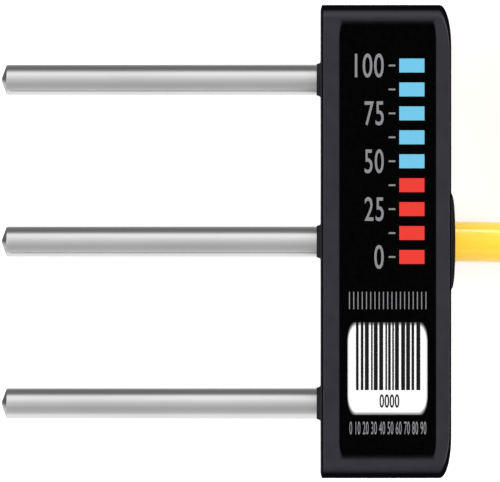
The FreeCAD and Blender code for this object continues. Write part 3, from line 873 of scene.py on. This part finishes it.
def upright_bars():
    """Bars of uneven widths side by side, seeded: they encode nothing."""
    choose = random.Random(BAR_SEED)
    start, top = on_overlay(BARS_BOX[0], BARS_BOX[1])
    end, bottom = on_overlay(BARS_BOX[2], BARS_BOX[3])
    shapes = []
    here = start
    while here < end:
        edge = min(here + choose.choice(BAR_WIDTHS), end)
        shapes.append([(here, bottom), (edge, bottom), (edge, top), (here, top)])
        here = edge + choose.choice(BAR_GAPS)
    return shapes


def overlay_block(left, top, right, bottom):
    """A rectangle given as shares of the overlay."""
    west, north = on_overlay(left, top)
    east, south = on_overlay(right, bottom)
    return [(west, south), (east, south), (east, north), (west, north)]


def across_at(span, middle, half_height):
    """A block that spans part of the overlay at one height."""
    return overlay_block(span[0], middle - half_height, span[1], middle + half_height)


def make_print():
    """A plain level scale with numbers, a ruler and rows of bars: no words and no mark."""
    for row, number in enumerate(("100", "75", "50", "25", "0")):
        middle = SCALE_TOP + row * SCALE_PITCH
        box = (
            NUMBER_END - DIGIT_WIDTH * len(number), middle - DIGIT_HEIGHT / 2,
            NUMBER_END, middle + DIGIT_HEIGHT / 2,
        )
        digits("print_level_" + number, number, box, INK_GREY, 0.03 * MM)
    heights = [SCALE_TOP + step * SCALE_PITCH / 2 for step in range(METER_STEPS)]
    blocks = [across_at(BLOCK_SPAN, height, BLOCK_HALF_HEIGHT) for height in heights]
    ticks = [across_at(TICK_SPAN, height, TICK_HALF_HEIGHT) for height in heights]
    printed("print_meter_wet", blocks[:WET_STEPS], INK_BLUE)
    printed("print_meter_dry", blocks[WET_STEPS:], INK_RED)
    printed("print_ticks", ticks, INK_GREY)
    starts = [RULER_START + RULER_PITCH * mark for mark in range(RULER_MARKS)]
    top, bottom = RULER_HEIGHTS
    ruler = [overlay_block(start, top, start + RULER_MARK_WIDTH, bottom) for start in starts]
    printed("print_ruler", ruler, INK_GREY)
    on_paper = serial_high[2]
    printed("print_bars", upright_bars(), INK_BLACK, on_paper)
    digits(
        "print_number", "0000", LABEL_NUMBER_BOX, INK_BLACK, 0.045 * MM, on_paper
    )
    digits("print_scale", "0 10 20 30 40 50 60 70 80 90", SMALL_SCALE_BOX, INK_GREY, 0.01 * MM)


# ---- finishes of the CAD pieces that stay ------------------------------------------------
def finish_nodes():
    """Gives each CAD piece that stays its material."""
    finishes = {
        "back_cover": HOUSING, "label_overlay": OVERLAY, "serial_label": PAPER,
        "clip_screws": SCREW, "circuit_board": BOARD, "shield_can": TIN,
        "sampler_chip": CHIP, "microcontroller": CHIP, "crystal": TIN,
        "voltage_regulator": CHIP, "surge_diodes": CHIP, "capacitors": BRASS,
        "resistors": CHIP, "thermistor": RESIN, "wire_pins": TIN, "cable_end": JACKET,
        "cable_ferrule": TIN, "potting_compound": RESIN, "coil_ties": NYLON,
        "tail_sleeve": SLEEVE, "tinned_tips": TIN,
    }
    for name in ROD_NAMES:
        finishes[name + "_seal"] = SEAL
        finishes[name + "_clip"] = BRASS
    for colour, material in WIRE.items():
        finishes["inner_" + colour + "_wire"] = material
        finishes["tail_" + colour + "_wire"] = material
    for name, material in finishes.items():
        for material_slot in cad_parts[name].material_slots:
            material_slot.material = material


# ---- table and light ---------------------------------------------------------------------
TABLE_HALF = 15.0
TABLE_GLOW = 0.50           # the table is a lit white sheet, as product tables are
TABLE_MIRRORED = 1.15       # in reflections; seen directly it is about 1.5, with the lights on it
CABLE_LIGHT = 7.0           # watts
CABLE_FILL = 0.02
SIDE_LIGHT = 22.0
SIDE_LIGHT_SIZE = (0.9, 0.9)
FLAG_OFFSET = 2.2 * MM      # from a rod's axis
FLAG_LOW = -0.15 * MM       # heights above the axis
FLAG_HIGH = 1.55 * MM
FLAG_DARKEST = 0.7 * MM
FLAG_GLOW = (0.52, 0.22)    # at its foot and where it is darkest
ROOM_BRIGHTEST = 2.0
ROOM_LEVELS = [             # degrees from straight up towards +Y, and brightness
    (-90, 0.96), (-74, 0.70), (-50, 0.58), (-30, 0.58), (0, 0.78),
    (20, 1.02), (36, 1.26), (56, 1.26), (70, 0.40), (90, 0.16),
]


def make_table():
    """A lit white sheet; polished things reflect it a little darker, as a plain pale grey."""
    data = bpy.data.meshes.new("table")
    signs = [(-1, -1), (1, -1), (1, 1), (-1, 1)]
    data.from_pydata([(x * TABLE_HALF, y * TABLE_HALF, 0) for x, y in signs], [], [(0, 1, 2, 3)])
    table = bpy.data.objects.new("table", data)
    bpy.context.scene.collection.objects.link(table)
    nodes = Nodes("table_white").set(base=(0.80, 0.80, 0.80), rough=0.7, specular=0.2)
    nodes.shader.inputs["Emission Color"].default_value = (1.0, 1.0, 1.0, 1.0)
    nodes.shader.inputs["Emission Strength"].default_value = TABLE_GLOW
    mirrored = nodes.add("ShaderNodeEmission")
    mirrored.inputs["Strength"].default_value = TABLE_MIRRORED
    rays = nodes.add("ShaderNodeLightPath")
    mix = nodes.add("ShaderNodeMixShader")
    nodes.link(rays.outputs["Is Glossy Ray"], mix.inputs["Fac"])
    nodes.link(nodes.shader.outputs["BSDF"], mix.inputs[1])
    nodes.link(mirrored.outputs["Emission"], mix.inputs[2])
    nodes.link(mix.outputs["Shader"], nodes.tree.nodes["Material Output"].inputs["Surface"])
    table.data.materials.append(nodes.material)


def make_world():
    """A pale room: bright strip above the far side, a dark gap at its horizon."""
    world = bpy.data.worlds.new("room")
    bpy.context.scene.world = world
    world.use_nodes = True
    tree = world.node_tree
    background = tree.nodes["Background"]
    coords = tree.nodes.new("ShaderNodeTexCoord")
    split = tree.nodes.new("ShaderNodeSeparateXYZ")
    tree.links.new(coords.outputs["Generated"], split.inputs["Vector"])
    angle = tree.nodes.new("ShaderNodeMath")
    angle.operation = "ARCTAN2"
    tree.links.new(split.outputs["Y"], angle.inputs[0])
    tree.links.new(split.outputs["Z"], angle.inputs[1])
    share = tree.nodes.new("ShaderNodeMapRange")
    share.inputs["From Min"].default_value = -math.pi / 2
    share.inputs["From Max"].default_value = math.pi / 2
    tree.links.new(angle.outputs[0], share.inputs["Value"])
    ramp = tree.nodes.new("ShaderNodeValToRGB")
    elements = ramp.color_ramp.elements
    while len(elements) < len(ROOM_LEVELS):
        elements.new(0.5)
    for element, (degrees, level) in zip(elements, ROOM_LEVELS):
        element.position = (degrees + 90) / 180
        grey = level / ROOM_BRIGHTEST
        element.color = (grey, grey, grey, 1.0)
    tree.links.new(share.outputs["Result"], ramp.inputs["Fac"])
    tree.links.new(ramp.outputs["Color"], background.inputs["Color"])
    background.inputs["Strength"].default_value = ROOM_BRIGHTEST
    plain = tree.nodes.new("ShaderNodeBackground")
    plain.inputs["Color"].default_value = (0.93, 0.93, 0.94, 1.0)
    plain.inputs["Strength"].default_value = 1.0
    rays = tree.nodes.new("ShaderNodeLightPath")
    mix = tree.nodes.new("ShaderNodeMixShader")
    tree.links.new(rays.outputs["Is Camera Ray"], mix.inputs["Fac"])
    tree.links.new(background.outputs["Background"], mix.inputs[1])
    tree.links.new(plain.outputs["Background"], mix.inputs[2])
    tree.links.new(mix.outputs["Shader"], tree.nodes["World Output"].inputs["Surface"])


def make_softbox(name, place, size, power):
    """A large soft light that faces the object."""
    data = bpy.data.lights.new(name, "AREA")
    data.shape = "RECTANGLE"
    data.size, data.size_y = size
    data.energy = power
    light = bpy.data.objects.new(name, data)
    bpy.context.scene.collection.objects.link(light)
    light.location = place
    light.rotation_euler = Vector(place).to_track_quat("Z", "Y").to_euler()
    light.visible_camera = False
    return light


def make_cable_lights():
    """A long soft light on the far side and a small fill on the near side that only the
    cable catches."""
    receivers = bpy.data.collections.new("cable_light_receivers")
    receivers.objects.link(cable)
    receivers.objects.link(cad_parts["cable_end"])
    far = make_softbox("light_cable", (0.03, 1.0, 0.46), (1.1, 0.30), CABLE_LIGHT)
    fill = make_softbox("light_fill", (0.013, -0.07, 0.06), (0.03, 0.03), CABLE_FILL)
    fill.visible_glossy = False
    for light in (far, fill):
        light.light_linking.receiver_collection = receivers


def make_flags():
    """Dark cards close by the rods' far side, as a photographer hangs them to give polished
    metal a dark edge. Only reflections show them."""
    nodes = Nodes("flag_grey")
    split = nodes.add("ShaderNodeSeparateXYZ")
    nodes.link(nodes.place(), split.inputs["Vector"])
    level = nodes.remap(
        split.outputs["Z"], *FLAG_GLOW, ROD_HEIGHT + FLAG_LOW, ROD_HEIGHT + FLAG_DARKEST
    )
    glow = nodes.add("ShaderNodeEmission")
    nodes.link(level, glow.inputs["Strength"])
    nodes.link(glow.outputs["Emission"], nodes.tree.nodes["Material Output"].inputs["Surface"])
    for name in ROD_NAMES:
        low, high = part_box(name)
        y = rod_y(name) + FLAG_OFFSET
        corners = [
            (low[0], y, ROD_HEIGHT + FLAG_LOW),
            (ROD_FACE - COLLAR_LENGTH, y, ROD_HEIGHT + FLAG_LOW),
            (ROD_FACE - COLLAR_LENGTH, y, ROD_HEIGHT + FLAG_HIGH),
            (low[0], y, ROD_HEIGHT + FLAG_HIGH),
        ]
        data = bpy.data.meshes.new("flag_" + name)
        data.from_pydata(corners, [], [(0, 1, 2, 3)])
        flag = bpy.data.objects.new("flag_" + name, data)
        bpy.context.scene.collection.objects.link(flag)
        flag.data.materials.append(nodes.material)
        flag.visible_camera = False
        flag.visible_diffuse = False
        flag.visible_shadow = False
        flag.visible_transmission = False


def make_lights():
    make_world()
    make_flags()
    make_cable_lights()
    make_softbox("light_cable_side", (1.3, 0.0, 1.1), SIDE_LIGHT_SIZE, SIDE_LIGHT)
    make_softbox("light_rod_side", (-1.3, 0.0, 1.1), SIDE_LIGHT_SIZE, SIDE_LIGHT)


# ---- everything --------------------------------------------------------------------------
make_camera()
cable = make_cable()
make_housing()
make_collars()
make_rods()
make_grommet()
make_print()
finish_nodes()
make_table()
make_lights()
bpy.context.scene.view_settings.view_transform = "Standard"
